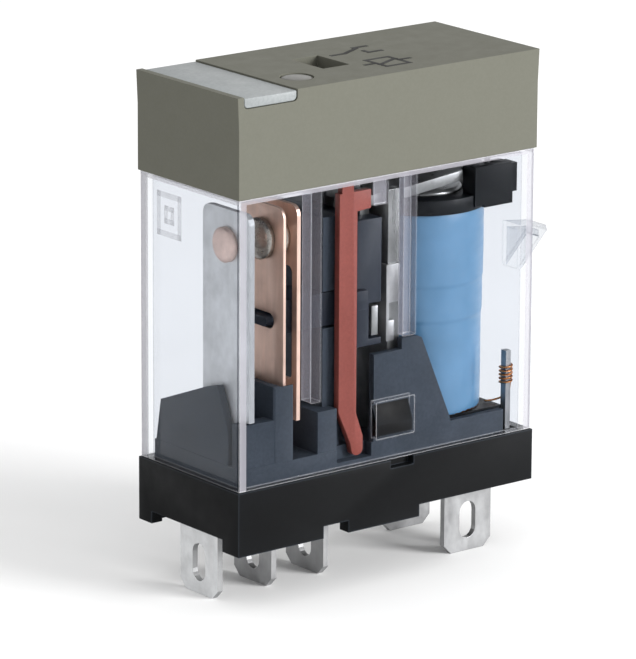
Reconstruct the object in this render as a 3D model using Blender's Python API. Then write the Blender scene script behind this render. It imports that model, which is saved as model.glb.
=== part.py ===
"""Plug-in control relay with a clear cover: one changeover contact, a coil, and a mechanical flag.

Frame: +Z up, origin at the centre of the seating plane under the moulded feet. The contact end is
at -X, the coil end at +X, and the near long side, where the flag lever runs, is at -Y. Shapes are
drawn in millimetres, and finish() scales each finished mesh to metres.
"""

import math

import bmesh
import bpy
from mathutils import Matrix, Vector

MM = 0.001

# Outer sizes
LENGTH = 28.8
WIDTH = 12.6
SKIRT_BOTTOM = 0.96
SKIRT_TOP = 5.0
PLINTH_TOP = 6.45
CAP_BOTTOM = 27.55
CAP_TOP = 35.3
CAP_FLARE = 0.12
HALF_L = LENGTH / 2
HALF_W = WIDTH / 2

# Clearances
SLIP = 0.05
FIT = 0.1

# Cover
COVER_INSET = 0.15
COVER_WALL = 0.65
COVER_L = HALF_L - COVER_INSET
COVER_W = HALF_W - COVER_INSET
ROOM_L = COVER_L - COVER_WALL
ROOM_W = COVER_W - COVER_WALL
CEILING = 27.15

# Sheet metal
SHEET = 0.5
BLADE_TIP = -4.6
BLADE_HALF = 2.35
BLADE_CHAMFER = 0.7
SLOT_HALF = 0.8
SLOT_Z = (-3.6, -0.6)

# Contact stack: three upright plates across the length, off the middle towards the near side
CONTACT_Y = -2.6
CONTACT_Z = 23.3
CONTACT_R = 1.35
WIDE_CONTACT_R = 1.6
DOME = 0.25
NO_PLATE_X = -12.7
SPRING_X = -9.4
SPRING_SHEET = 0.25
NC_PLATE_X = -7.95
NC_SHEET = 0.35
SPRING_PIVOT_Z = 8.6
SPRING_RIVETS_Y = (-3.7, -1.5)

# Magnet
CORE_X = 7.9
CORE_R = 2.2
POLE_R = 3.3
POLE_TOP = 24.55
COIL_R = 5.05
COIL_Z = (7.0, 23.05)
YOKE_X = (1.2, 2.4)
YOKE_HALF = 4.5
YOKE_TOP = 24.57
YOKE_LEG_Z = (4.7, 5.9)
FLANGE_Z = (23.1, 23.7)
FLANGE_R = 5.2
RIM_TOP = 24.25
BLOCK_X = (9.2, 12.8)
ARMATURE_PIVOT = (1.2, 24.6)
ARMATURE_TILT = 5.4
ARMATURE_SHEET = 0.8

# Flag lever
LEVER_PIVOT = (-2.3, 6.2)
LEVER_Y = (-5.3, -4.72)
LEVER_X = (-4.13, -2.42)

# Card
CARD_Y = (-4.2, -0.8)
CARD_Z = (16.0, 18.6)
EAR_X = (-0.34, 0.25)
EAR_Z = (14.6, 16.9)


# ---------------------------------------------------------------- shape helpers


def clear_scene():
    for obj in list(bpy.data.objects):
        bpy.data.objects.remove(obj, do_unlink=True)


def place(axis, a, b, depth):
    """The point (a, b) of a plane across the axis, at a depth along it."""
    return {"x": (depth, a, b), "y": (a, depth, b), "z": (a, b, depth)}[axis]


def shape_from(bm):
    bmesh.ops.recalc_face_normals(bm, faces=bm.faces)
    mesh = bpy.data.meshes.new("shape")
    bm.to_mesh(mesh)
    bm.free()
    obj = bpy.data.objects.new("shape", mesh)
    bpy.context.scene.collection.objects.link(obj)
    return obj


def prism(axis, outline, span, holes=()):
    """A closed outline, with holes if any, extruded along an axis between two limits."""
    bm = bmesh.new()
    loops = [[bm.verts.new(place(axis, a, b, span[0])) for a, b in loop] for loop in (outline, *holes)]
    if holes:
        edges = [bm.edges.new(pair) for loop in loops for pair in zip(loop, loop[1:] + loop[:1])]
        bmesh.ops.triangle_fill(bm, edges=edges, use_beauty=True)
    else:
        bm.faces.new(loops[0])
    grown = bmesh.ops.extrude_face_region(bm, geom=bm.faces[:])["geom"]
    moved = [item for item in grown if isinstance(item, bmesh.types.BMVert)]
    bmesh.ops.translate(bm, verts=moved, vec=Vector(place(axis, 0, 0, span[1] - span[0])))
    return shape_from(bm)


def box(x, y, z):
    return prism("z", [(x[0], y[0]), (x[1], y[0]), (x[1], y[1]), (x[0], y[1])], z)


def arc(centre, radius, start, stop, steps):
    """Points on a circle, from one angle to another, in degrees."""
    angles = [math.radians(start + (stop - start) * i / steps) for i in range(steps + 1)]
    return [(centre[0] + radius * math.cos(t), centre[1] + radius * math.sin(t)) for t in angles]


def rounded(a, b, radius, steps=5):
    """A rectangle with round corners, as an outline."""
    r = radius
    corners = [(a[1] - r, b[0] + r, -90), (a[1] - r, b[1] - r, 0)]
    corners += [(a[0] + r, b[1] - r, 90), (a[0] + r, b[0] + r, 180)]
    return [p for u, v, turn in corners for p in arc((u, v), r, turn, turn + 90, steps)]


def circle(centre, radius, sides=32):
    return arc(centre, radius, 0, 360 * (1 - 1 / sides), sides - 1)


def cylinder(axis, centre, radius, span, sides=32):
    return prism(axis, circle(centre, radius, sides), span)


def turned(axis, centre, profile, sides=32):
    """A solid of revolution. The profile is a list of (radius, depth along the axis)."""
    bm = bmesh.new()
    rings = []
    for radius, depth in profile:
        if radius:
            points = circle(centre, radius, sides)
        else:
            points = [centre]
        rings.append([bm.verts.new(place(axis, a, b, depth)) for a, b in points])
    for low, high in zip(rings, rings[1:]):
        for i in range(sides):
            j = (i + 1) % sides
            corners = [low[i % len(low)], low[j % len(low)], high[j % len(high)], high[i % len(high)]]
            bm.faces.new(list(dict.fromkeys(corners)))
    for ring in (rings[0], rings[-1]):
        if len(ring) > 1:
            bm.faces.new(ring)
    return shape_from(bm)


def combine(target, others, operation):
    """Joins shapes to the target or cuts them from it, and leaves one plain mesh."""
    for other in others:
        modifier = target.modifiers.new("combine", "BOOLEAN")
        modifier.operation = operation
        modifier.solver = "EXACT"
        modifier.object = other
        bpy.context.view_layer.update()
        graph = bpy.context.evaluated_depsgraph_get()
        mesh = bpy.data.meshes.new_from_object(target.evaluated_get(graph))
        target.modifiers.clear()
        target.data = mesh
        bpy.data.objects.remove(other, do_unlink=True)
    return target


def join(target, *others):
    return combine(target, others, "UNION")


def cut(target, *others):
    return combine(target, others, "DIFFERENCE")


def turned_by(shape, angle, pivot):
    """The shape turned about a line along +Y through pivot (x, z), in degrees."""
    centre = Vector((pivot[0], 0, pivot[1]))
    turn = Matrix.Rotation(math.radians(angle), 4, "Y")
    shape.data.transform(Matrix.Translation(centre) @ turn @ Matrix.Translation(-centre))
    return shape


def material(name, colour, roughness, metallic=0.0, alpha=1.0):
    found = bpy.data.materials.new(name)
    found.use_nodes = True
    shader = found.node_tree.nodes["Principled BSDF"]
    shader.inputs["Base Color"].default_value = (*colour, 1.0)
    shader.inputs["Roughness"].default_value = roughness
    shader.inputs["Metallic"].default_value = metallic
    shader.inputs["Alpha"].default_value = alpha
    return found


def finish(name, shape, look, pivot=(0, 0, 0)):
    """Names a finished shape, scales it to metres and puts its origin on its pivot."""
    shape.name = name
    shape.data.name = name
    shape.data.transform(Matrix.Scale(MM, 4) @ Matrix.Translation(-Vector(pivot)))
    shape.location = Vector(pivot) * MM
    shape.data.materials.clear()
    shape.data.materials.append(look)
    shape.data.shade_smooth()
    shape.data.set_sharp_from_angle(angle=math.radians(30))
    return shape


def wire(name, points, radius, look):
    """A round wire along smooth points, with closed ends."""
    curve = bpy.data.curves.new(name, "CURVE")
    curve.dimensions = "3D"
    curve.bevel_depth = radius * MM
    curve.bevel_resolution = 2
    curve.use_fill_caps = True
    spline = curve.splines.new("POLY")
    spline.points.add(len(points) - 1)
    for point, place_mm in zip(spline.points, points):
        point.co = (*(Vector(place_mm) * MM), 1.0)
    curve.materials.append(look)
    obj = bpy.data.objects.new(name, curve)
    bpy.context.scene.collection.objects.link(obj)
    return obj


def smooth_path(corners, steps=6):
    """A path through the corners, each turned into a short round bend."""
    path = [Vector(corners[0])]
    for before, here, after in zip(corners, corners[1:], corners[2:]):
        here = Vector(here)
        reach_in = (Vector(before) - here) * 0.5
        reach_out = (Vector(after) - here) * 0.5
        bend = 0.9
        start = here + reach_in.normalized() * min(bend, reach_in.length)
        stop = here + reach_out.normalized() * min(bend, reach_out.length)
        for i in range(steps + 1):
            t = i / steps
            path.append(start * (1 - t) ** 2 + here * 2 * t * (1 - t) + stop * t**2)
    path.append(Vector(corners[-1]))
    return path


# ---------------------------------------------------------------- terminals


def blade_outline(middle, top):
    """A plug blade seen flat on: chamfered tip, straight sides."""
    c = BLADE_CHAMFER
    low, high = middle - BLADE_HALF, middle + BLADE_HALF
    tip = [(low + c, BLADE_TIP), (high - c, BLADE_TIP), (high, BLADE_TIP + c)]
    return tip + [(high, top), (low, top), (low, BLADE_TIP + c)]


def slot_outline(middle):
    """The long hole in a blade: straight sides and round ends."""
    low = arc((middle, SLOT_Z[0] + SLOT_HALF), SLOT_HALF, 180, 360, 8)
    high = arc((middle, SLOT_Z[1] - SLOT_HALF), SLOT_HALF, 0, 180, 8)
    return low + high


def blade(axis, middle, span, top):
    return prism(axis, blade_outline(middle, top), span, [slot_outline(middle)])


def sheet(x):
    return (x, x + SHEET)


NO_BLADE_X = -13.4
COM_BLADE_X = -8.25
NC_BLADE_X = -3.2
COM_PLATE_X = SPRING_X + SPRING_SHEET + FIT
NO_BRIDGE_Z = (3.0, 3.5)
COM_BRIDGE_Z = (1.3, 1.8)
NC_BRIDGE_Z = (2.4, 2.9)
COM_TOP = 9.6
COIL_BLADE_Y = 3.5
COIL_BLADE_X = 9.85
COIL_FOOT_Z = (2.0, 2.5)
POST_X = (12.7, 13.2)
POST_Y = (4.4, 5.0)
POST_TOP = 11.3
SUNK = 0.02

# Stretches of each terminal inside the base, as blocks. The base has a channel around each.
NO_ROOT = [
    (sheet(NO_BLADE_X), (-BLADE_HALF, BLADE_HALF), (-1, NO_BRIDGE_Z[1])),
    ((NO_BLADE_X, NO_PLATE_X + SHEET), (-BLADE_HALF, BLADE_HALF), NO_BRIDGE_Z),
    (sheet(NO_PLATE_X), (-4.6, -0.4), (NO_BRIDGE_Z[0], 10.5)),
]
COM_ROOT = [
    (sheet(COM_BLADE_X), (-BLADE_HALF, BLADE_HALF), (-1, COM_BRIDGE_Z[1])),
    ((COM_PLATE_X, COM_BLADE_X + SHEET), (-BLADE_HALF, BLADE_HALF), COM_BRIDGE_Z),
    (sheet(COM_PLATE_X), (-4.5, -0.6), (COM_BRIDGE_Z[0], COM_TOP)),
]
NC_ROOT = [
    (sheet(NC_BLADE_X), (-BLADE_HALF, BLADE_HALF), (-1, NC_BRIDGE_Z[1])),
    ((NC_PLATE_X, NC_BLADE_X + SHEET), (-BLADE_HALF, -0.9), NC_BRIDGE_Z),
    ((NC_PLATE_X, NC_PLATE_X + NC_SHEET), (-3.6, -0.9), (NC_BRIDGE_Z[0], 10.0)),
]


def coil_root(side):
    """The blocks of a coil terminal inside the base, on the side with this sign."""

    def across(low, high):
        return tuple(sorted((side * low, side * high)))

    blade_span = (COIL_BLADE_X - BLADE_HALF, COIL_BLADE_X + BLADE_HALF)
    return [
        (blade_span, across(COIL_BLADE_Y, COIL_BLADE_Y + SHEET), (-1, COIL_FOOT_Z[1])),
        ((COIL_BLADE_X, POST_X[1]), across(COIL_BLADE_Y, POST_Y[1]), COIL_FOOT_Z),
        (POST_X, across(*POST_Y), (COIL_FOOT_Z[0], POST_TOP)),
    ]


def grown(block, by):
    return tuple((low - by, high + by) for low, high in block)


def shouldered(wide, root, low, waist, top):
    """An upright plate's outline: a narrow root, shoulders at the waist, round top corners."""
    corners = arc((wide[1] - 0.8, top - 0.8), 0.8, 0, 90, 5) + arc((wide[0] + 0.8, top - 0.8), 0.8, 90, 180, 5)
    foot = [(wide[0], waist), (root[0], waist), (root[0], low), (root[1], low), (root[1], waist)]
    return corners + foot + [(wide[1], waist)]


def rivet_hole():
    return circle((CONTACT_Y, CONTACT_Z), 0.8, 24)


def bridge(block, lift):
    """The flat stretch that joins a blade to its upright plate, sunk a little into both."""
    (x, y, z) = block
    return box((x[0] + lift, x[1] - lift), (y[0] + lift, y[1] - lift), (z[0] + lift, z[1] - lift))


def no_terminal(look):
    shape = blade("x", 0, sheet(NO_BLADE_X), NO_BRIDGE_Z[1])
    outline = shouldered((-5.35, 0.4), NO_ROOT[2][1], NO_BRIDGE_Z[0], 9.95, 26.0)
    join(shape, bridge(NO_ROOT[1], SUNK), prism("x", outline, sheet(NO_PLATE_X), [rivet_hole()]))
    finish("no_terminal", shape, look)


def com_terminal(look):
    shape = blade("x", 0, sheet(COM_BLADE_X), COM_BRIDGE_Z[1])
    x, y, z = COM_ROOT[2]
    outline = [(y[0], z[0]), (y[1], z[0]), (y[1], z[1]), (y[0], z[1])]
    holes = [circle((middle, SPRING_PIVOT_Z), 0.5, 20) for middle in SPRING_RIVETS_Y]
    join(shape, bridge(COM_ROOT[1], SUNK), prism("x", outline, x, holes))
    finish("com_terminal", shape, look)


def nc_terminal(look):
    shape = blade("x", 0, sheet(NC_BLADE_X), NC_BRIDGE_Z[1])
    outline = shouldered((-5.0, 0.1), NC_ROOT[2][1], NC_BRIDGE_Z[0], 9.3, 26.0)
    window = rounded((-4.4, -0.45), (12.4, 21.2), 0.5)
    plate = prism("x", outline, NC_ROOT[2][0], [rivet_hole(), window])
    join(shape, bridge(NC_ROOT[1], SUNK), plate)
    finish("nc_terminal", shape, look)


def coil_terminal(name, side, look):
    blocks = coil_root(side)
    shape = blade("y", COIL_BLADE_X, blocks[0][1], COIL_FOOT_Z[1])
    join(shape, bridge(blocks[1], SUNK), box(*blocks[2]))
    finish(name, shape, look)


# ---------------------------------------------------------------- contacts


def contact_rivet(face, towards, head, shank, tail, radius=CONTACT_R):
    """A contact rivet along X. face is where the head sits, towards its sign along X."""
    end = face + towards * head
    back = face - towards * shank
    profile = [(0, end), (radius * 0.45, end - towards * DOME * 0.2)]
    profile += [(radius * 0.8, end - towards * DOME * 0.6), (radius, end - towards * DOME * 1.2)]
    profile += [(radius, face + towards * 0.01), (0.75, face + towards * 0.01)]
    profile += [(0.75, back - towards * 0.01), (radius, back - towards * 0.01)]
    profile += [(radius, back - towards * tail * 0.6), (radius * 0.7, back - towards * tail)]
    return turned("x", (CONTACT_Y, CONTACT_Z), profile + [(0, back - towards * tail)])


def moving_spring(look, pivot):
    """The copper leaf that carries the moving contact, riveted to the common terminal."""
    outline = shouldered((-5.2, 0.0), (-4.5, -0.7), 7.75, 10.0, 26.0)
    holes = [rivet_hole(), rounded((-4.05, -0.6), (16.45, 17.65), 0.55)]
    holes += [circle((y, SPRING_PIVOT_Z), 0.55, 20) for y in SPRING_RIVETS_Y]
    shape = prism("x", outline, (SPRING_X, SPRING_X + SPRING_SHEET), holes)
    finish("moving_spring", shape, look, pivot)


def contacts(silver, copper, pivot):
    finish("no_contact", contact_rivet(NO_PLATE_X + SHEET, 1, 0.75, SHEET, 0.6), copper)
    finish("nc_contact", contact_rivet(NC_PLATE_X, -1, 0.6, NC_SHEET, 0.3, WIDE_CONTACT_R), silver)
    shape = contact_rivet(SPRING_X, -1, 0.75, SPRING_SHEET, 0.5, WIDE_CONTACT_R)
    finish("moving_contact", shape, silver, pivot)


def spring_rivets(look):
    """Two rivets clamp the spring's root against the common terminal."""
    left = SPRING_X - 0.08
    right = COM_PLATE_X + SHEET + 0.02
    for number, y in enumerate(SPRING_RIVETS_Y, 1):
        profile = [(0, left - 0.24), (0.5, left - 0.24), (0.75, left - 0.12), (0.75, left), (0.42, left)]
        profile += [(0.42, right), (0.75, right), (0.75, right + 0.15), (0, right + 0.3)]
        finish(f"spring_rivet_{number}", turned("x", (y, SPRING_PIVOT_Z), profile, 24), look)


# ---------------------------------------------------------------- magnet


def core(look):
    profile = [(0, YOKE_LEG_Z[0]), (CORE_R - 0.3, YOKE_LEG_Z[0]), (CORE_R, YOKE_LEG_Z[0] + 0.3)]
    profile += [(CORE_R, FLANGE_Z[1] + SLIP), (POLE_R, FLANGE_Z[1] + SLIP), (POLE_R, POLE_TOP - 0.2)]
    profile += [(POLE_R - 0.2, POLE_TOP), (0, POLE_TOP)]
    finish("core", turned("z", (CORE_X, 0), profile, 40), look)


def yoke(look):
    """An L of thick sheet: the upright beside the coil, the leg under it, and two ears on top."""
    upright = box(YOKE_X, (-YOKE_HALF, YOKE_HALF), (YOKE_LEG_Z[0], YOKE_TOP))
    leg = box((YOKE_X[0], 12.2), (-4.0, 4.0), YOKE_LEG_Z)
    ears = [box(YOKE_X, (low, low + 0.75), (YOKE_TOP - 1, 25.8)) for low in (-YOKE_HALF, YOKE_HALF - 0.75)]
    shape = join(upright, leg, *ears)
    cut(shape, cylinder("z", (CORE_X, 0), CORE_R + SLIP, (4, 7), 40))
    finish("yoke", shape, look)


def armature(look, pivot):
    """The plate over the pole, tilted open at rest, and the leg that reaches down to the card."""
    half = [(-0.35, 3.6), (2.8, 3.6), (3.1, 4.1), (8.9, 4.1), (9.3, 3.4), (11.4, 3.4), (11.6, 3.2)]
    outline = half + [(x, -y) for x, y in reversed(half)]
    low = ARMATURE_PIVOT[1]
    plate = prism("z", outline, (low, low + ARMATURE_SHEET))
    cut(plate, box((0.5, 1.45), (-1.4, 1.4), (low - 1, low + 2)))
    turned_by(plate, -ARMATURE_TILT, ARMATURE_PIVOT)
    leg = box((-0.35, 0.55), (-3.0, 3.0), (15.9, low + 0.4))
    window = box((-1, 1), (-1.4, 1.4), (21.6, low + 0.2))
    ears = []
    for side in (-1, 1):
        ears.append(box(EAR_X, tuple(sorted((side * 3.2, side * 4.5))), EAR_Z))
        ears.append(box(EAR_X, tuple(sorted((side * 2.9, side * 3.3))), (16.0, EAR_Z[1] - 0.05)))
    finish("armature", join(cut(leg, window), plate, *ears), look, pivot)


def hinge_spring(look):
    """A strap around the yoke. Its tongue rises through the armature and holds it on the edge."""
    strap = box((0.85, 1.1), (-4.8, 4.8), (14.0, 20.0))
    sides = []
    for side in (-1, 1):
        wing = tuple(sorted((side * (YOKE_HALF + SLIP), side * (YOKE_HALF + 0.3))))
        sides.append(box((0.86, 2.15), wing, (17.0, 20.0)))
        sides.append(box((0.86, 1.6), wing, (14.0, 15.6)))
    tongue = box((0.85, 1.1), (-1.2, 1.2), (19.0, 26.2))
    finger = box((0.86, 3.1), (-1.2, 1.2), (26.15, 26.4))
    finish("hinge_spring", join(strap, tongue, finger, *sides), look)


def bobbin(look):
    """Lower flange, tube, round upper flange, and the blocks that frame the armature's tip."""
    shape = box((3.3, 12.6), (-4.6, 4.6), (5.95, 6.9))
    tube = cylinder("z", (CORE_X, 0), 3.0, (6.5, 23.4), 40)
    flange = cylinder("z", (CORE_X, 0), FLANGE_R, (FLANGE_Z[0], RIM_TOP), 64)
    blocks = [box((10.4, 13.2), (-4.9, 4.9), (FLANGE_Z[0], RIM_TOP - 0.02))]
    for side in (-1, 1):
        blocks.append(box(BLOCK_X, tuple(sorted((side * 3.7, side * 5.2))), (FLANGE_Z[0] + 0.3, 26.45)))
        blocks.append(box((12.4, 13.45), tuple(sorted((side * 3.75, side * 5.1))), (24.05, 26.3)))
    join(shape, tube, flange, *blocks)
    cut(shape, cylinder("z", (CORE_X, 0), POLE_R + FIT, (FLANGE_Z[1], 26), 48))
    cut(shape, cylinder("z", (CORE_X, 0), CORE_R + SLIP, (5, 25), 40))
    for y in LED_LEAD_Y:
        cut(shape, cylinder("z", (LED_LEAD_X, y), 0.35, (24.6, 27), 16))
    finish("bobbin", shape, look)


def coil(copper, tape):
    """Enamelled wire on the bobbin's tube, and the tape wrapped around it."""
    wound = cylinder("z", (CORE_X, 0), COIL_R - 0.2, COIL_Z, 48)
    cut(wound, cylinder("z", (CORE_X, 0), 3.0 + SLIP, (6, 24), 40))
    finish("coil_winding", wound, copper)
    wrap = cylinder("z", (CORE_X, 0), COIL_R, COIL_Z, 64)
    cut(wrap, cylinder("z", (CORE_X, 0), COIL_R - 0.2 + 0.03, (6, 24), 64))
    finish("coil_tape", wrap, tape)


def coil_lead(name, side, look):
    """The winding's end: turns of copper wire around the terminal's post."""
    centre = (sum(POST_X) / 2, side * sum(POST_Y) / 2)
    radius = 0.49
    turns = 5
    start, pitch = 8.6, 0.3
    points = []
    for i in range(turns * 12 + 1):
        angle = math.radians(30 * i)
        height = start + pitch * i / 12
        x = centre[0] + radius * math.cos(angle)
        points.append((x, centre[1] + radius * math.sin(angle), height))
    low = (centre[0] + radius, centre[1], start)
    corners = [(11.9, side * 3.4, 7.05), (12.75, side * 3.7, 7.05), (low[0], low[1] - side * 0.2, 7.6), low]
    wire(name, smooth_path(corners)[:-1] + [Vector(p) for p in points], 0.08, look)


# ---------------------------------------------------------------- drive


def card(look, pivot):
    """The insulating slider: cheeks around the armature's leg, and an arm to the moving spring."""
    shape = box((-1.86, -0.45), (-4.6, 4.6), (13.9, 23.8))
    for low in (-4.6, 3.2):
        join(shape, box((-0.6, 0.5), (low, low + 1.4), (13.9, 23.8)))
    join(shape, box((-0.6, 0.5), (-4.0, 4.0), (13.9, 15.6)))
    for side in (-1, 1):
        cut(shape, box((-0.7, 0.7), tuple(sorted((side * 3.05, side * 5.0))), (14.4, 17.2)))
    join(shape, box((-8.6, -1.5), CARD_Y, CARD_Z))
    join(shape, box((SPRING_X + SPRING_SHEET + SLIP, -8.3), (-4.0, -1.0), (16.2, 18.4)))
    join(shape, prism("x", rounded((-3.75, -0.9), (16.65, 17.45), 0.35), (SPRING_X - 0.5, -8.5)))
    join(shape, box((LEVER_X[1] + SLIP, -1.3), (-5.25, -4.4), (17.0, 18.5)))
    finish("card", shape, look, pivot)


def indicator_lever(look, pivot):
    """The red lever. A blind hole in its foot turns on the base's pin, and its flag passes the window."""
    left, right = LEVER_X
    stem = [(left, 9.3), (left + 1.15, 6.75)] + arc(LEVER_PIVOT, 0.56, 205, 345, 8)
    stem += [(-1.76, 7.1), (right, 9.0), (right, 24.8), (right + 1.3, 24.9), (right + 1.3, 26.35)]
    stem += [(right - 0.35, 26.35), (right - 0.35, 31.4), (2.1, 31.9), (2.1, 33.3)]
    stem += [(-2.9, 33.0), (left + 0.25, 31.2), (left + 0.25, 26.35), (left, 26.35)]
    shape = prism("y", stem, LEVER_Y)
    join(shape, box((-0.4, 2.1), (LEVER_Y[0], 2.2), (32.5, 33.3)))
    cut(shape, cylinder("y", LEVER_PIVOT, 0.34, (-5.0, -4), 20))
    finish("indicator_lever", shape, look, pivot)


# ---------------------------------------------------------------- housing


def feet():
    """Thin walls under the skirt that stand on the socket, and the rib that joins the middle two."""
    floor = SKIRT_BOTTOM + 0.3
    blocks = [
        ((-HALF_L, -6.28), (-HALF_W, -HALF_W + 1.0), (0, floor)),
        ((-3.86, 3.08), (-HALF_W, -HALF_W + 1.1), (0, floor)),
        ((-HALF_L, -HALF_L + 1.0), (-HALF_W, -4.26), (0, floor)),
        ((-HALF_L, -6.28), (HALF_W - 1.0, HALF_W), (0, floor)),
        ((-3.86, 3.08), (HALF_W - 1.1, HALF_W), (0, floor)),
        ((-HALF_L, -HALF_L + 1.0), (4.67, HALF_W), (0, floor)),
        ((-0.6, 0.6), (-HALF_W + 0.5, HALF_W - 0.5), (0, floor)),
    ]
    return [box(*block) for block in blocks]


SNAP_X = (-0.98, 2.5)
SNAP_GAP = 0.1


def magnet_walls():
    """The two side walls that clasp the coil, hollowed to clear it, with a hook on each."""
    outline = [(-0.83, 4.5), (-0.83, 13.35), (1.9, 13.35), (1.9, 14.2), (3.4, 14.2), (3.84, 14.0)]
    outline += [(6.7, 7.2), (6.8, 6.8), (12.1, 6.8), (12.1, 4.5)]
    walls = []
    for side in (-1, 1):
        span = tuple(sorted((side * 4.85, side * 5.45)))
        walls.append(prism("y", outline, span))
        hook = [(side * 5.3, 6.95), (side * 6.1, 7.0), (side * 6.1, 7.9), (side * 5.46, 9.45), (side * 5.3, 9.45)]
        walls.append(prism("x", hook, SNAP_X))
    return walls


def contact_moulding():
    """Blocks and walls around the contact stack, on the -X half."""
    crest = [(4.75, 9.75), (-0.9, 12.0), (-2.35, 12.4), (-3.75, 9.0), (-3.75, 4.5), (5.45, 4.5), (5.4, 6.0)]
    shoulder = [(4.7, 9.7), (0.6, 11.3), (0.6, 4.5), (5.4, 4.5), (5.35, 6.0)]
    near_a = box((-13.4, -8.85), (-5.4, -4.15), (4.5, 9.85))
    near_b = box((-6.2, -4.38), (-5.4, -2.3), (4.5, 9.73))
    far = prism("x", shoulder, (-13.4, -9.4))
    screen = prism("x", crest, (-13.45, -12.85))
    spring_guard = box((-10.4, SPRING_X - 0.38), (-5.35, 0.2), (4.5, 12.4))
    guard_wing = box((-10.3, -8.6), (-5.42, -5.3), (4.6, 12.35))
    barrier = box((-5.0, -3.4), (-4.4, 5.4), (4.5, 24.5))
    stop = box((-13.45, -12.85), (-5.4, -4.6), (4.5, 9.85))
    return [near_a, near_b, far, screen, spring_guard, guard_wing, barrier, stop]


def channels():
    """Clearance around everything that stands in the base."""
    roots = [NO_ROOT, COM_ROOT, NC_ROOT, coil_root(-1), coil_root(1)]
    cutters = [box(*grown(block, SLIP + i * 0.01)) for root in roots for i, block in enumerate(root)]
    cutters.append(box((YOKE_X[0] - FIT, 12.9), (-YOKE_HALF - FIT, YOKE_HALF + FIT), (YOKE_LEG_Z[0] - FIT, 7)))
    cutters.append(box((YOKE_X[0] - FIT, 4.0), (-YOKE_HALF - FIT, YOKE_HALF + FIT), (6, 30)))
    cutters.append(box((-12.9, -10.4), (-5.0, 0.65), (PLINTH_TOP, 9.0)))
    cutters.append(box((-9.8, -8.15), (-4.7, -0.4), (PLINTH_TOP, 14)))
    cutters.append(box((-8.15, -6.3), (-5.2, 0.2), (PLINTH_TOP, 14)))
    cutters.append(box((-5.5, -3.0), (-4.5, CARD_Y[1] + 0.15), (CARD_Z[0] - 0.15, CARD_Z[1] + 0.15)))
    cutters.append(box((-4.38, SNAP_X[0] - 0.04), (-6, -4.6), (5.4, 14)))
    cutters.append(box((0.2, 2.47), (-7, -5.6), (4.35, 6)))
    return cutters


def base(look):
    """One black moulding: skirt, feet, plinth, the walls around the magnet and the contact guards."""
    shape = box((-HALF_L, HALF_L), (-HALF_W, HALF_W), (SKIRT_BOTTOM, SKIRT_TOP))
    plinth = box((-13.5, 12.1), (-5.45, 5.45), (4.5, PLINTH_TOP))
    join(shape, plinth, *feet(), *magnet_walls(), *contact_moulding())
    cut(shape, *channels())
    cut(shape, cylinder("z", (CORE_X, 0), COIL_R + FIT, (6.9, 20), 64))
    join(shape, cylinder("y", LEVER_PIVOT, 0.28, (-4.95, -4.3), 20))
    finish("base", shape, look)


def cover(look):
    """The clear box: open below, with a collar for the cap, ribs inside and a latch hook outside."""
    shape = box((-COVER_L, COVER_L), (-COVER_W, COVER_W), (SKIRT_TOP + SLIP, CAP_BOTTOM - SLIP))
    join(shape, box((-13.35, 13.35), (-5.25, 5.25), (CAP_BOTTOM - 0.5, 29.5)))
    cut(shape, box((-12.75, 12.75), (-4.65, 4.65), (CAP_BOTTOM - 0.05, 31)))
    cut(shape, box((-ROOM_L, ROOM_L), (-ROOM_W, ROOM_W), (4, CEILING)))
    ribs = [
        box((-6.95, -6.05), (-5.9, CARD_Y[0] - FIT), (10.6, CEILING + 0.3)),
        box((1.96, 3.14), (-5.9, -4.85), (14.4, CEILING + 0.3)),
        box((-0.95, 0.35), (-5.9, -5.3), (25.1, CEILING + 0.3)),
    ]
    join(shape, *ribs)
    hook = [(COVER_L - 0.3, 21.1), (16.8, 20.75), (16.92, 20.3), (COVER_L, 17.5), (COVER_L - 0.3, 17.5)]
    join(shape, prism("y", hook, (-4.75, -2.6)))
    hollow = [(COVER_L + 0.03, 20.65), (16.4, 20.35), (16.4, 16.5), (COVER_L + 0.03, 16.5)]
    cut(shape, prism("y", hollow, (-4.35, -3.0)))
    for side in (-1, 1):
        window = (SNAP_X[0] - SNAP_GAP, SNAP_X[1] + SNAP_GAP)
        cut(shape, box(window, tuple(sorted((side * 5.3, side * 6.5))), (6.85, 9.75)))
    cut(shape, box((-5.7, -1.85), (-5.45, -4.55), (CEILING - 1, 31)))
    for y in LED_LEAD_Y:
        cut(shape, cylinder("z", (LED_LEAD_X, y), 0.45, (26, 28), 20))
    finish("cover", shape, look)


LABEL_X = (-13.93, -8.95)
LABEL_FLOOR = 34.4
WINDOW_X = (-3.13, -0.6)
WINDOW_Y = (-1.95, 2.0)
LENS = (-6.45, -2.96)
LENS_R = 1.3
ROOF = 34.1
CAP_WALL = 0.9
LED_LEAD_X = 11.2
LED_LEAD_Y = (-4.2, 4.2)


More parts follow.
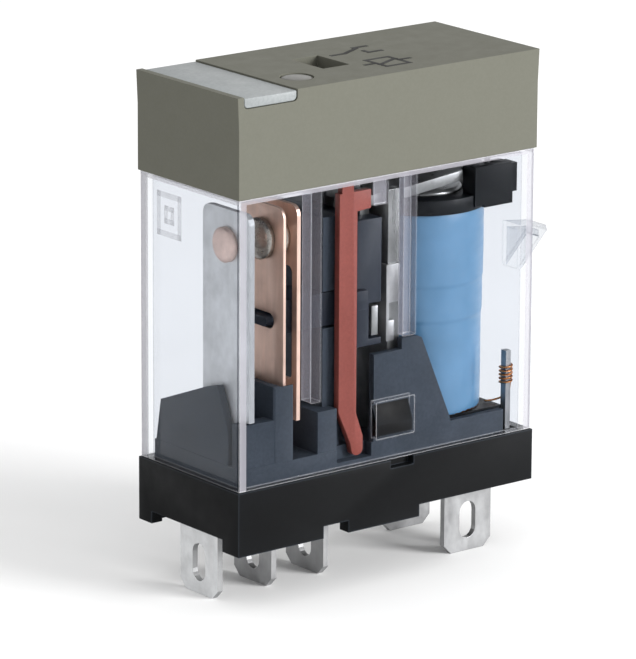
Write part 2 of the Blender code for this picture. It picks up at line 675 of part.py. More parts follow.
def cap(look):
    """The olive cap: ends flared towards the top, a label recess, a flag window and a lens hole."""
    side_view = [(-HALF_L, CAP_BOTTOM), (HALF_L, CAP_BOTTOM), (HALF_L, 32.7)]
    side_view += [(HALF_L + CAP_FLARE, CAP_TOP), (-HALF_L - CAP_FLARE, CAP_TOP), (-HALF_L, 32.7)]
    shape = prism("y", side_view, (-HALF_W, HALF_W))
    inner_l, inner_w = HALF_L - CAP_WALL, HALF_W - CAP_WALL
    cut(shape, box((-inner_l, inner_l), (-inner_w, inner_w), (CAP_BOTTOM - 1, 33.4)))
    cut(shape, box((-8.0, inner_l), (-inner_w, inner_w), (33, ROOF)))
    recess = rounded(LABEL_X, (LABEL_FLOOR, CAP_TOP + 2), 0.35)
    cut(shape, prism("y", recess, (-HALF_W - 1, HALF_W + 1)))
    cut(shape, box(WINDOW_X, WINDOW_Y, (ROOF - 1, CAP_TOP + 1)))
    cut(shape, cylinder("z", LENS, LENS_R, (ROOF - 1, CAP_TOP + 1), 32))
    finish("cap", shape, look)


def nameplate(look, pivot):
    """The white writing tag in the cap's recess. It pulls off upwards."""
    x = (LABEL_X[0] + SLIP, LABEL_X[1] - SLIP)
    outline = rounded(x, (LABEL_FLOOR + 0.03, LABEL_FLOOR + 1.5), 0.35)
    shape = prism("y", outline, (-HALF_W + SLIP, HALF_W - SLIP))
    cut(shape, box((-16, -6), (-8, 8), (CAP_TOP - 0.1, CAP_TOP + 3)))
    finish("nameplate", shape, look, pivot)


# ---------------------------------------------------------------- indicator lamp in the cap


BOARD_X = (-12.4, -4.6)
BOARD_Z = (30.4, 31.2)


def lamp(look_lens, look_led, look_board, look_resistor, look_wire):
    """A lamp on a small board under the cap's lens, fed from the coil's terminals."""
    profile = [(0, 34.05), (1.2, 34.05), (1.2, CAP_TOP - 0.1), (0.9, CAP_TOP - 0.02), (0, CAP_TOP)]
    finish("led_lens", turned("z", LENS, profile), look_lens)
    board = box(BOARD_X, (-4.5, 5.0), BOARD_Z)
    for y in LED_LEAD_Y:
        cut(board, cylinder("z", (BOARD_X[1] - 0.7, y), 0.35, (30, 32), 16))
    finish("led_board", board, look_board)
    dome = [(1.0 * math.cos(math.radians(a)), 32.6 + math.sin(math.radians(a))) for a in (0, 30, 60)]
    profile = [(0, BOARD_Z[1] + SLIP), (1.15, BOARD_Z[1] + SLIP), (1.15, 31.7), (1.0, 31.7)]
    finish("led", turned("z", LENS, profile + dome + [(0, 33.6)], 24), look_led)
    body = [(0, -1.0), (0.4, -1.0), (0.55, -0.7), (0.45, -0.4), (0.45, 1.4), (0.55, 1.7), (0.4, 2.0), (0, 2.0)]
    resistor = turned("y", (-9.6, 31.85), body, 20)
    finish("led_resistor", resistor, look_resistor)
    for name, y in zip(("led_lead_near", "led_lead_far"), LED_LEAD_Y):
        start = (BOARD_X[1] - 0.7, y, 31.6)
        corners = [start, (start[0], y, 29.9), (LED_LEAD_X, y, 29.9), (LED_LEAD_X, y, 24.9)]
        wire(name, smooth_path(corners), 0.22, look_wire)


def main():
    clear_scene()
    black = material("black_plastic", (0.02, 0.022, 0.024), 0.45)
    card_black = material("card_plastic", (0.015, 0.016, 0.018), 0.4)
    clear = material("clear_plastic", (0.85, 0.9, 0.98), 0.05, alpha=0.25)
    olive = material("olive_plastic", (0.27, 0.27, 0.22), 0.5)
    white = material("white_tag", (0.62, 0.66, 0.68), 0.4)
    red = material("red_plastic", (0.55, 0.09, 0.06), 0.4)
    tinned = material("tinned_sheet", (0.75, 0.75, 0.74), 0.25, 1.0)
    steel = material("plated_steel", (0.6, 0.6, 0.6), 0.3, 1.0)
    copper = material("spring_copper", (0.75, 0.45, 0.3), 0.35, 1.0)
    enamel = material("enamelled_wire", (0.6, 0.28, 0.12), 0.35, 1.0)
    silver = material("contact_silver", (0.8, 0.76, 0.7), 0.3, 1.0)
    tape = material("blue_tape", (0.15, 0.35, 0.62), 0.45)
    lens = material("lens", (0.45, 0.45, 0.4), 0.3)
    led = material("led_resin", (0.6, 0.75, 0.55), 0.2)
    board = material("board", (0.05, 0.2, 0.1), 0.5)
    beige = material("resistor_coat", (0.55, 0.42, 0.28), 0.5)
    spring_pivot = (SPRING_X + SPRING_SHEET / 2, 0, SPRING_PIVOT_Z)
    armature_pivot = (ARMATURE_PIVOT[0], 0, ARMATURE_PIVOT[1])
    base(black)
    cover(clear)
    cap(olive)
    nameplate(white, (sum(LABEL_X) / 2, 0, LABEL_FLOOR))
    lamp(lens, led, board, beige, tinned)
    no_terminal(tinned)
    com_terminal(tinned)
    nc_terminal(copper)
    coil_terminal("coil_terminal_near", -1, tinned)
    coil_terminal("coil_terminal_far", 1, tinned)
    moving_spring(copper, spring_pivot)
    contacts(silver, copper, spring_pivot)
    spring_rivets(copper)
    core(steel)
    yoke(steel)
    armature(steel, armature_pivot)
    hinge_spring(tinned)
    bobbin(card_black)
    coil(enamel, tape)
    coil_lead("coil_lead_near", -1, enamel)
    coil_lead("coil_lead_far", 1, enamel)
    card(card_black, (0, 0, sum(CARD_Z) / 2))
    indicator_lever(red, (LEVER_PIVOT[0], 0, LEVER_PIVOT[1]))


main()
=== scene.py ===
"""Looks for the plug-in relay: a clear cover over the contact stack and the magnet, on a pale floor.

Places come from the CAD frame, in metres: +Z up, contact end at -X, flag lever side at -Y.
"""

import math

import bmesh
import bpy
from mathutils import Matrix, Vector, noise


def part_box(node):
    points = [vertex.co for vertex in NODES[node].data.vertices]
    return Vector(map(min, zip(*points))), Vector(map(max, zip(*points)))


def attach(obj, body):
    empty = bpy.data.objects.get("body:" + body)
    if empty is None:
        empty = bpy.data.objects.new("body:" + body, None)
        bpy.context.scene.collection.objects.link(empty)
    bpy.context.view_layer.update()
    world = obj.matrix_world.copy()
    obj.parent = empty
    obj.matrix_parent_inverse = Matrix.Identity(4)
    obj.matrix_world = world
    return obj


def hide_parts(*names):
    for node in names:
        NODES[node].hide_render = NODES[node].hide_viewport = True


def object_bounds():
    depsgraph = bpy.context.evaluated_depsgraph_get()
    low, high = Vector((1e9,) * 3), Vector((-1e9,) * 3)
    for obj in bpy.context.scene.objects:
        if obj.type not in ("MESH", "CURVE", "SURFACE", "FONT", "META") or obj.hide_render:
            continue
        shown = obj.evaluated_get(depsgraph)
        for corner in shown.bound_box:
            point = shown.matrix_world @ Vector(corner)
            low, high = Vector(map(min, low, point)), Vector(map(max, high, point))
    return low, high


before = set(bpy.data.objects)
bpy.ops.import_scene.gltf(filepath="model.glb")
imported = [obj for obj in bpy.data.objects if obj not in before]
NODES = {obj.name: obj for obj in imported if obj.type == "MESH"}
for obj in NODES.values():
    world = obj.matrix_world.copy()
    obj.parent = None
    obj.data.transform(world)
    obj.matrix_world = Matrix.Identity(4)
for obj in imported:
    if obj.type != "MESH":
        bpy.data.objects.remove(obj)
CAD_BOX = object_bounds()
MM = 0.001

# Camera: angles in degrees, place in metres, lens in millimetres
CAMERA_AZIMUTH = 38.25
CAMERA_ELEVATION = 15.32
CAMERA_ROLL = 0.3
CAMERA_PLACE = (-0.23935, -0.30111, 0.1194)
CAMERA_LENS = 283.6

# The base's skirt ends at this height, in metres, and the cover starts there.
SKIRT_TOP = 0.00502
# The base's faces within this distance of the middle are under the cover, and the snap hooks are beyond.
HOOK_FACE = 0.00548
# Limits of the cover's inner ribs in X, Y and Z
RIB_X = (-0.0135, 0.0135)
RIB_Y = (-0.00545, 0.00545)
RIB_Z = (0.006, 0.02705)
# Distances from the middle of the cover's inner corners, its end faces and its latch
CORNER_X = 0.01358
CORNER_Y = 0.00548
END_X = 0.01418
LATCH_X = 0.01455
# The half of an end face with no painted corner glow, and the painted dark line down it
BARE_Y = (-0.0063, 0.0)
DARK_LINE_Y = (-0.00612, -0.00588)
# Underside of the cover's roof, and the thickness of its walls
ROOF_Z = 0.02712
COVER_WALL = 0.0007

# Scale of the spark texture on moulded plastic, in features to a metre
SPARK = 9000
# Thickness of printed marks. Strokes that cross differ by a layer, so that no two faces coincide.
INK = 0.00002
LAYER = 0.000001


# ---------------------------------------------------------------- node helpers


def new_material(name):
    """An empty node material and its tree, with a Principled shader and the output."""
    made = bpy.data.materials.new(name)
    made.use_nodes = True
    tree = made.node_tree
    return made, tree, tree.nodes["Principled BSDF"]


def add(tree, kind, **values):
    """A node of this kind. A value is set on the input of that name, or else on the node."""
    node = tree.nodes.new(kind)
    for key, value in values.items():
        spaced = key.replace("_", " ").title()
        if spaced in node.inputs:
            node.inputs[spaced].default_value = value
        else:
            setattr(node, key, value)
    return node


def coordinates(tree, scale=(1, 1, 1)):
    """Object coordinates in metres, stretched."""
    source = tree.nodes.new("ShaderNodeTexCoord")
    mapping = tree.nodes.new("ShaderNodeMapping")
    mapping.inputs["Scale"].default_value = scale
    tree.links.new(source.outputs["Object"], mapping.inputs["Vector"])
    return mapping.outputs["Vector"]


def grain(tree, vector, scale, detail=4.0, roughness=0.55):
    """A noise value from 0 to 1. scale counts features to a metre."""
    node = add(tree, "ShaderNodeTexNoise", scale=scale, detail=detail, roughness=roughness)
    tree.links.new(vector, node.inputs["Vector"])
    return node.outputs["Fac"]


def ramp(tree, value, low, high, start=0.3, stop=0.7):
    """A value spread between two colours or two greys."""
    node = tree.nodes.new("ShaderNodeValToRGB")
    stops = node.color_ramp.elements
    stops[0].position, stops[1].position = start, stop
    stops[0].color = (*low, 1) if isinstance(low, tuple) else (low, low, low, 1)
    stops[1].color = (*high, 1) if isinstance(high, tuple) else (high, high, high, 1)
    tree.links.new(value, node.inputs["Fac"])
    return node.outputs["Color"]


def blend_colours(tree, factor, first, second):
    """A mix of two colour sockets or plain colours."""
    node = add(tree, "ShaderNodeMix", data_type="RGBA")
    tree.links.new(factor, node.inputs["Factor"])
    for value, socket in ((first, node.inputs[6]), (second, node.inputs[7])):
        if isinstance(value, tuple):
            socket.default_value = (*value, 1)
        else:
            tree.links.new(value, socket)
    return node.outputs[2]


def multiplied(tree, first, second):
    """Two colour sockets multiplied."""
    node = add(tree, "ShaderNodeMix", data_type="RGBA", blend_type="MULTIPLY")
    node.inputs["Factor"].default_value = 1.0
    tree.links.new(first, node.inputs[6])
    tree.links.new(second, node.inputs[7])
    return node.outputs[2]


def bump(tree, shader, heights, distance, strength=1.0):
    """Small relief from a height value, in metres."""
    node = add(tree, "ShaderNodeBump", distance=distance, strength=strength)
    tree.links.new(heights, node.inputs["Height"])
    tree.links.new(node.outputs["Normal"], shader.inputs["Normal"])


def shade(colour, factor):
    """A colour made darker or paler, kept within range."""
    return tuple(min(1.0, channel * factor) for channel in colour)


def place_parts(tree):
    """The X, Y and Z sockets of the CAD place."""
    parts = tree.nodes.new("ShaderNodeSeparateXYZ")
    tree.links.new(coordinates(tree), parts.inputs["Vector"])
    return parts.outputs["X"], parts.outputs["Y"], parts.outputs["Z"]


def between(tree, value, limits):
    """1 where a value lies between two limits, else 0."""
    low, high = limits
    over = add(tree, "ShaderNodeMath", operation="GREATER_THAN")
    under = add(tree, "ShaderNodeMath", operation="LESS_THAN")
    tree.links.new(value, over.inputs[0])
    tree.links.new(value, under.inputs[0])
    over.inputs[1].default_value = low
    under.inputs[1].default_value = high
    return product(tree, over.outputs["Value"], under.outputs["Value"])


def outside(tree, value, limit):
    """1 where a value is farther from zero than a limit, else 0."""
    size = add(tree, "ShaderNodeMath", operation="ABSOLUTE")
    tree.links.new(value, size.inputs[0])
    over = add(tree, "ShaderNodeMath", operation="GREATER_THAN")
    tree.links.new(size.outputs["Value"], over.inputs[0])
    over.inputs[1].default_value = limit
    return over.outputs["Value"]


def product(tree, first, second):
    """Two values multiplied. The second may be a plain number."""
    node = add(tree, "ShaderNodeMath", operation="MULTIPLY", use_clamp=True)
    tree.links.new(first, node.inputs[0])
    if isinstance(second, float):
        node.inputs[1].default_value = second
    else:
        tree.links.new(second, node.inputs[1])
    return node.outputs["Value"]


def total(tree, first, second):
    """Two values added, up to 1."""
    node = add(tree, "ShaderNodeMath", operation="ADD", use_clamp=True)
    tree.links.new(first, node.inputs[0])
    tree.links.new(second, node.inputs[1])
    return node.outputs["Value"]


def rest_of(tree, value):
    """1 less a value, no lower than 0."""
    node = add(tree, "ShaderNodeMath", operation="SUBTRACT", use_clamp=True)
    node.inputs[0].default_value = 1.0
    tree.links.new(value, node.inputs[1])
    return node.outputs["Value"]


def above(tree, height, soft=0.00002):
    """1 above a height in the CAD frame and 0 below it. The node's origin is the frame's."""
    step = add(tree, "ShaderNodeMapRange", clamp=True)
    step.inputs["From Min"].default_value = height - soft
    step.inputs["From Max"].default_value = height + soft
    tree.links.new(place_parts(tree)[2], step.inputs["Value"])
    return step.outputs["Result"]


def mixed(tree, factor, first, second):
    """A mix of two shaders."""
    node = tree.nodes.new("ShaderNodeMixShader")
    tree.links.new(factor, node.inputs["Fac"])
    tree.links.new(first, node.inputs[1])
    tree.links.new(second, node.inputs[2])
    return node.outputs["Shader"]


def edge_nearness(tree, spread=0.0002):
    """How far a point is from flat, from 0 on a face to 1 on an edge, by comparing bevelled normals."""
    soft = add(tree, "ShaderNodeBevel", samples=4, radius=spread)
    flat = tree.nodes.new("ShaderNodeNewGeometry")
    compare = add(tree, "ShaderNodeVectorMath", operation="DOT_PRODUCT")
    tree.links.new(soft.outputs["Normal"], compare.inputs[0])
    tree.links.new(flat.outputs["True Normal"], compare.inputs[1])
    return rest_of(tree, compare.outputs["Value"])


# ---------------------------------------------------------------- materials


def moulded(name, colour, roughness, relief=0.6, mottle=0.12, wear_and_sheen=1.5, gloss=0.45, inner=None, speck=0.07):
    """Moulded plastic: fine spark texture, faint flow clouds, and paler edges, partly wear and partly painted
    highlight.

    A second tone, when given, goes on the faces shut in under the cover: a painted reflection of the cover,
    which makes them paler.
    """
    made, tree, shader = new_material(name)
    place = coordinates(tree)
    cloud = grain(tree, place, 260, 3)
    clouds = ramp(tree, cloud, shade(colour, 1 - mottle), shade(colour, 1 + mottle))
    if inner:
        # Painted reflection: the faces under the cover take the paler tone of the cover's veil.
        painted_veil_clouds = ramp(tree, cloud, shade(inner, 1 - mottle), shade(inner, 1 + mottle))
        shut_in = between(tree, place_parts(tree)[1], (-HOOK_FACE, HOOK_FACE))
        clouds = blend_colours(tree, product(tree, above(tree, SKIRT_TOP), shut_in), clouds, painted_veil_clouds)
    specks = ramp(tree, grain(tree, place, SPARK * 0.5, 2), 1 - speck, 1 + speck, 0.35, 0.65)
    speckled = multiplied(tree, clouds, specks)
    # Paler edges: partly wear, partly a painted highlight, also on parts shut in under the cover.
    wear_and_sheen_colour = blend_colours(tree, edge_nearness(tree), speckled, shade(inner or colour, wear_and_sheen))
    tree.links.new(wear_and_sheen_colour, shader.inputs["Base Color"])
    rough = ramp(tree, grain(tree, place, 700, 4), roughness - 0.06, roughness + 0.06)
    tree.links.new(rough, shader.inputs["Roughness"])
    bump(tree, shader, grain(tree, place, SPARK, 3, 0.6), 0.000012 * relief)
    shader.inputs["Specular IOR Level"].default_value = gloss
    return made


def sheet_metal(
    name, colour, roughness, along=(1, 1, 0.06), streak=1600, relief=0.5, tarnish=0.25, below=None, edge_dimming=None
):
    """Rolled sheet: streaks along one way and soft tarnish.

    below is the tone under the skirt, and the dimming factor darkens the sheet's edges, the faces that face
    Y.
    """
    made, tree, shader = new_material(name)
    rolled = coordinates(tree, along)
    even = coordinates(tree)
    streaks = grain(tree, rolled, streak, 6, 0.65)
    cloud = grain(tree, even, 420, 5, 0.6)
    clouds = ramp(tree, cloud, shade(colour, 1 - tarnish), shade(colour, 1.08))
    if below:
        plated = ramp(tree, cloud, shade(below, 1 - tarnish), shade(below, 1.08))
        clouds = blend_colours(tree, above(tree, SKIRT_TOP), plated, clouds)
    if edge_dimming:
        facing = tree.nodes.new("ShaderNodeSeparateXYZ")
        surface = tree.nodes.new("ShaderNodeNewGeometry")
        tree.links.new(surface.outputs["Normal"], facing.inputs["Vector"])
        y_facing_edges = outside(tree, facing.outputs["Y"], 0.7)
        clouds = blend_colours(tree, y_facing_edges, clouds, shade(colour, edge_dimming))
    lined = ramp(tree, streaks, 0.86, 1.08, 0.3, 0.7)
    tree.links.new(multiplied(tree, clouds, lined), shader.inputs["Base Color"])
    rough = ramp(tree, streaks, roughness - 0.08, roughness + 0.12)
    tree.links.new(rough, shader.inputs["Roughness"])
    bump(tree, shader, streaks, 0.000006 * relief)
    shader.inputs["Metallic"].default_value = 0.8
    return made


def cover_regions(tree):
    """Masks of the cover's ribs, its corners and roof where glow is painted, its latch, and the painted dark
    line down its end.
    """
    x, y, z = place_parts(tree)
    ribs = product(tree, between(tree, y, RIB_Y), between(tree, x, RIB_X))
    ribs = product(tree, ribs, between(tree, z, RIB_Z))
    end_face = outside(tree, x, END_X)
    bare = product(tree, end_face, between(tree, y, BARE_Y))
    corners = product(tree, outside(tree, x, CORNER_X), outside(tree, y, CORNER_Y))
    corners = product(tree, corners, rest_of(tree, bare))
    painted_glow = total(tree, corners, above(tree, ROOF_Z))
    # A painted dark line down the end face.
    crease = product(tree, end_face, between(tree, y, DARK_LINE_Y))
    return ribs, painted_glow, outside(tree, x, LATCH_X), crease


def clear_plastic():
    """The cover: thin clear walls, slightly cool, with painted glow along its edges, ribs and corners and
    painted shade at its latch, that shine at a glance.
    """
    made, tree, shader = new_material("clear_cover")
    ribs, corners, latch, crease = cover_regions(tree)
    # Edges of the clear walls, where glow and shade are painted
    painted_rims = product(tree, edge_nearness(tree, 0.00022), 1.6)

    # Painted glow, standing in for light bent along the rims, ribs, corners and roof: how much of it there
    # is, and its colour
    glow_amount = total(tree, product(tree, painted_rims, 0.8), product(tree, ribs, 0.46))
    glow_amount = total(tree, glow_amount, product(tree, corners, 0.5))
    glow_colour = blend_colours(tree, painted_rims, (0.36, 0.35, 0.385), (0.75, 0.76, 0.78))
    tree.links.new(glow_colour, shader.inputs["Base Color"])
    shader.inputs["Specular IOR Level"].default_value = 0.3
    rough = ramp(tree, grain(tree, coordinates(tree), 500, 4), 0.1, 0.2)
    tree.links.new(rough, shader.inputs["Roughness"])

    # Clear: the tint of what shows through, with painted shade in the latch, at its edges and in a dark line
    # down the end
    through = tree.nodes.new("ShaderNodeBsdfTransparent")
    clear = blend_colours(tree, latch, (0.922, 0.931, 0.946), (0.87, 0.88, 0.895))
    clear = blend_colours(tree, product(tree, latch, painted_rims), clear, (0.4, 0.41, 0.43))
    tint = blend_colours(tree, crease, clear, (0.42, 0.43, 0.46))
    tree.links.new(tint, through.inputs["Color"])

    # Shine: only at low angles, and half as much on faces seen from behind
    mirror = add(tree, "ShaderNodeBsdfAnisotropic", roughness=0.02)
    glance = tree.nodes.new("ShaderNodeFresnel")
    glance.inputs["IOR"].default_value = 1.2
    shine = add(tree, "ShaderNodeMapRange", clamp=True)
    shine.inputs["From Min"].default_value = 0.035
    shine.inputs["To Max"].default_value = 0.6
    tree.links.new(glance.outputs["Fac"], shine.inputs["Value"])
    side = tree.nodes.new("ShaderNodeNewGeometry")
    outer = rest_of(tree, product(tree, side.outputs["Backfacing"], 0.5))

    painted_glow = mixed(tree, glow_amount, through.outputs["BSDF"], shader.outputs["BSDF"])
    shiny = product(tree, shine.outputs["Result"], outer)
    surface = mixed(tree, shiny, painted_glow, mirror.outputs["BSDF"])
    tree.links.new(surface, tree.nodes["Material Output"].inputs["Surface"])
    return made


def tape_film():
    """The coil's blue film: satin gloss with faint stretch marks around it and cloudy depth."""
    made, tree, shader = new_material("coil_film")
    around = coordinates(tree, (1, 1, 4))
    place = coordinates(tree)
    base = ramp(tree, grain(tree, place, 300, 4), (0.068, 0.172, 0.29), (0.09, 0.21, 0.35))
    tree.links.new(base, shader.inputs["Base Color"])
    rough = ramp(tree, grain(tree, around, 500, 4), 0.3, 0.46)
    tree.links.new(rough, shader.inputs["Roughness"])
    bump(tree, shader, grain(tree, around, 250, 2), 0.00001, 0.3)
    shader.inputs["Coat Weight"].default_value = 0.35
    shader.inputs["Coat Roughness"].default_value = 0.18
    return made


def enamel_wire():
    """Fine wound wire: ridges one wire apart up the coil."""
    made, tree, shader = new_material("enamel_wire")
    wave = add(tree, "ShaderNodeTexWave", bands_direction="Z", scale=1800.0, distortion=0.4)
    tree.links.new(coordinates(tree), wave.inputs["Vector"])
    colour = ramp(tree, wave.outputs["Fac"], (0.3, 0.1, 0.03), (0.72, 0.33, 0.14))
    tree.links.new(colour, shader.inputs["Base Color"])
    bump(tree, shader, wave.outputs["Fac"], 0.00003)
    shader.inputs["Metallic"].default_value = 1.0
    shader.inputs["Roughness"].default_value = 0.32
    return made


def frosted(name, colour, roughness, alpha=1.0):
    """A cloudy lens, mark or lamp resin with soft mottling."""
    made, tree, shader = new_material(name)
    place = coordinates(tree)
    tone = ramp(tree, grain(tree, place, 900, 4), shade(colour, 0.88), shade(colour, 1.1))
    tree.links.new(tone, shader.inputs["Base Color"])
    bump(tree, shader, grain(tree, place, 6000, 3), 0.00001, 0.5)
    shader.inputs["Roughness"].default_value = roughness
    shader.inputs["Subsurface Weight"].default_value = 0.2
    shader.inputs["Subsurface Radius"].default_value = (0.001, 0.001, 0.001)
    shader.inputs["Alpha"].default_value = alpha
    return made


def circuit_board():
    """Green lacquered board with a faint glass weave and paler pads."""
    made, tree, shader = new_material("circuit_board")
    place = coordinates(tree)
    weave = add(tree, "ShaderNodeTexChecker", scale=2600.0)
    tree.links.new(place, weave.inputs["Vector"])
    tone = ramp(tree, weave.outputs["Fac"], (0.025, 0.14, 0.06), (0.04, 0.2, 0.09), 0.0, 1.0)
    pads = ramp(tree, grain(tree, place, 380, 1), 0.0, 1.0, 0.62, 0.64)
    colour = blend_colours(tree, pads, tone, (0.06, 0.3, 0.13))
    tree.links.new(colour, shader.inputs["Base Color"])
    bump(tree, shader, weave.outputs["Fac"], 0.000008)
    shader.inputs["Roughness"].default_value = 0.3
    return made


# Black plastic under the cover, paler and bluer with the cover's reflection painted in, and the tinned blades
PAINTED_VEIL_BLACK = (0.038, 0.046, 0.058)
TIN = (0.38, 0.383, 0.39)

MATERIALS = {
    "black": moulded("black_housing", (0.003, 0.0033, 0.0038), 0.5, 0.02, wear_and_sheen=1.6, gloss=0.08, inner=PAINTED_VEIL_BLACK),
    "card": moulded("black_card", (0.004, 0.0048, 0.006), 0.42, 0.03, wear_and_sheen=2.2, gloss=0.2),
    "slate": moulded("slate_card", (0.017, 0.021, 0.03), 0.45, 0.02, wear_and_sheen=1.6, gloss=0.25),
    "olive": moulded("olive_cap", (0.112, 0.112, 0.091), 0.6, 0.12, 0.01, 1.12, 0.12, speck=0.02),
    "white": moulded("white_tag", (0.222, 0.237, 0.24), 0.4, relief=0.2, mottle=0.03, wear_and_sheen=1.06, gloss=0.3),
    "red": moulded("red_lever", (0.23, 0.058, 0.044), 0.45, 0.02, mottle=0.08, wear_and_sheen=1.2, gloss=0.25),
    "tin": sheet_metal("tinned_sheet", TIN, 0.38, (1, 1, 0.4), 1300, tarnish=0.28),
    "strap": sheet_metal("tinned_strap", (0.39, 0.385, 0.385), 0.38, (1, 1, 0.5), 500, 6.0, 0.3),
    "plate": sheet_metal("tinned_plate", (0.7, 0.71, 0.72), 0.5, (1, 1, 0.5), 900, tarnish=0.2, edge_dimming=0.45),
    "steel": sheet_metal("plated_steel", (0.29, 0.29, 0.285), 0.3, streak=700, relief=5.0, tarnish=0.4),
    "copper": sheet_metal("spring_copper", (0.74, 0.52, 0.42), 0.4, tarnish=0.16, below=TIN),
    "silver": sheet_metal("contact_silver", (0.46, 0.42, 0.37), 0.22, (1, 1, 1), 900),
    "rivet": sheet_metal("rivet_copper", (0.82, 0.63, 0.56), 0.42, (1, 1, 1), 1200),
    "clear": clear_plastic(),
    "film": tape_film(),
    "wire": enamel_wire(),
    "lens": frosted("lens_frost", (0.115, 0.113, 0.104), 0.4),
    "led": frosted("led_resin", (0.6, 0.75, 0.55), 0.15),
    "frost": frosted("frost_mark", (0.6, 0.59, 0.6), 0.6, alpha=0.22),
    "ink": moulded("cap_ink", (0.009, 0.0085, 0.008), 0.5, mottle=0.15, wear_and_sheen=1.2, gloss=0.1),
    "board": circuit_board(),
    "coat": frosted("resistor_coat", (0.55, 0.42, 0.28), 0.35),
}


# ---------------------------------------------------------------- CAD nodes: looks and edges

# Each node: (material, bevel width in millimetres)
FINISH = {
    "base": ("black", 0.09),
    "cover": ("clear", 0.12),
    "cap": ("olive", 0.14),
    "nameplate": ("white", 0.1),
    "led_lens": ("lens", 0),
    "led": ("led", 0),
    "led_board": ("board", 0.04),
    "led_resistor": ("coat", 0),
    "led_lead_near": ("tin", 0),
    "led_lead_far": ("tin", 0),
    "no_terminal": ("plate", 0.06),
    "com_terminal": ("tin", 0.06),
    "nc_terminal": ("copper", 0.06),
    "coil_terminal_near": ("tin", 0.06),
    "coil_terminal_far": ("tin", 0.06),
    "moving_spring": ("copper", 0.03),
    "moving_contact": ("silver", 0),
    "no_contact": ("rivet", 0),
    "nc_contact": ("silver", 0),
    "spring_rivet_1": ("rivet", 0),
    "spring_rivet_2": ("rivet", 0),
    "core": ("steel", 0.05),
    "yoke": ("steel", 0.1),
    "armature": ("steel", 0.1),
    "hinge_spring": ("strap", 0.04),
    "bobbin": ("card", 0.1),
    "coil_winding": ("wire", 0),
    "coil_lead_near": ("wire", 0),
    "coil_lead_far": ("wire", 0),
    "card": ("slate", 0.12),
    "indicator_lever": ("red", 0.1),
}


def dress(node, look, width):
    """Gives a CAD node its material, joins its faces at their edges, and rounds the sharp ones.

    The cover, the cap and the terminals are flat-sided, so they're shaded flat.
    """
    obj = NODES[node]
    obj.data.materials.clear()
    obj.data.materials.append(MATERIALS[look])
    weld = obj.modifiers.new("weld", "WELD")
    weld.merge_threshold = 0.000002
    flat_sided = look in ("clear", "olive") or "terminal" in node
    if width:
        if "terminal" not in node:
            flat = obj.modifiers.new("planar", "DECIMATE")
            flat.decimate_type = "DISSOLVE"
            flat.angle_limit = math.radians(0.6)
        bevel = obj.modifiers.new("edges", "BEVEL")
        bevel.width = width * MM
        bevel.segments = 2
        bevel.limit_method = "ANGLE"
        bevel.angle_limit = math.radians(32)
        bevel.harden_normals = not flat_sided
    if flat_sided:
        obj.data.shade_flat()
    else:
        obj.data.shade_smooth()
        obj.data.set_sharp_from_angle(angle=math.radians(35))


for node, (look, width) in FINISH.items():
    dress(node, look, width)


# ---------------------------------------------------------------- mesh helpers for new pieces


def piece(name, bm, look, body):
    """A finished piece from a bmesh: material, smooth shading, body and material slot."""
    bmesh.ops.recalc_face_normals(bm, faces=bm.faces)
    mesh = bpy.data.meshes.new(name)
    bm.to_mesh(mesh)
    bm.free()
    obj = bpy.data.objects.new(name, mesh)
    bpy.context.scene.collection.objects.link(obj)
    mesh.materials.append(MATERIALS[look])
    mesh.shade_smooth()
    mesh.set_sharp_from_angle(angle=math.radians(35))
    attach(obj, body)
    return obj


def plate(bm, outline, place, depth):
    """Adds a closed outline to bm as a thin slab. place turns (a, b, height) into a point."""
    rings = [[bm.verts.new(place(a, b, h)) for a, b in outline] for h in (0, depth)]
    bm.faces.new(rings[0])
    bm.faces.new(rings[1])
    for i in range(len(outline)):
        j = (i + 1) % len(outline)
        bm.faces.new([rings[0][i], rings[0][j], rings[1][j], rings[1][i]])


def stroke(bm, start, stop, width, place, depth):
    """A straight printed line with square ends."""
    along = (Vector(stop) - Vector(start)).normalized()
    side = Vector((-along.y, along.x)) * width / 2
    reach = along * width / 2
    first, last = Vector(start) - reach, Vector(stop) + reach
    plate(bm, [first - side, last - side, last + side, first + side], place, depth)


def frame_strokes(bm, low, high, width, place, depth):
    """A printed rectangle."""
    corners = [low, (high[0], low[1]), high, (low[0], high[1])]
    for i, (start, stop) in enumerate(zip(corners, corners[1:] + corners[:1])):
        stroke(bm, start, stop, width, place, depth + i * LAYER)


# ---------------------------------------------------------------- coil wrap

# Points around, rows up, the heights of the laps as shares of the coil, and the depth in millimetres
WRAP_TURN = 120
WRAP_ROWS = 140
WRAP_LAPS = (0.475, 0.65)
WRAP_DEPTH = 0.26


def ring_of(bm, centre, reaches, z):
    """Adds a ring of points at these distances from the centre line."""
    ring = []
    for i, reach in enumerate(reaches):
        angle = 2 * math.pi * i / WRAP_TURN
        ring.append(bm.verts.new((centre.x + reach * math.cos(angle), centre.y + reach * math.sin(angle), z)))
    return ring


def film_depth(up, angle):
    """How far the film lies under the coil's outline, in millimetres, with laps, creases and curled ends."""
    sway = 0.008 * math.sin(angle)
    lap = sum(1 / (1 + math.exp((step + sway - up) * 320)) for step in WRAP_LAPS)
    spot = Vector((math.cos(angle) * 2.2, math.sin(angle) * 2.2, up * 9))
    crease = noise.noise(spot) * 0.045 + noise.noise(spot * 3.1) * 0.018
    lip = 0.06 * (math.exp(-up * 60) + math.exp(-(1 - up) * 60))
    return 0.16 - 0.07 * lap - crease * 0.4 + lip


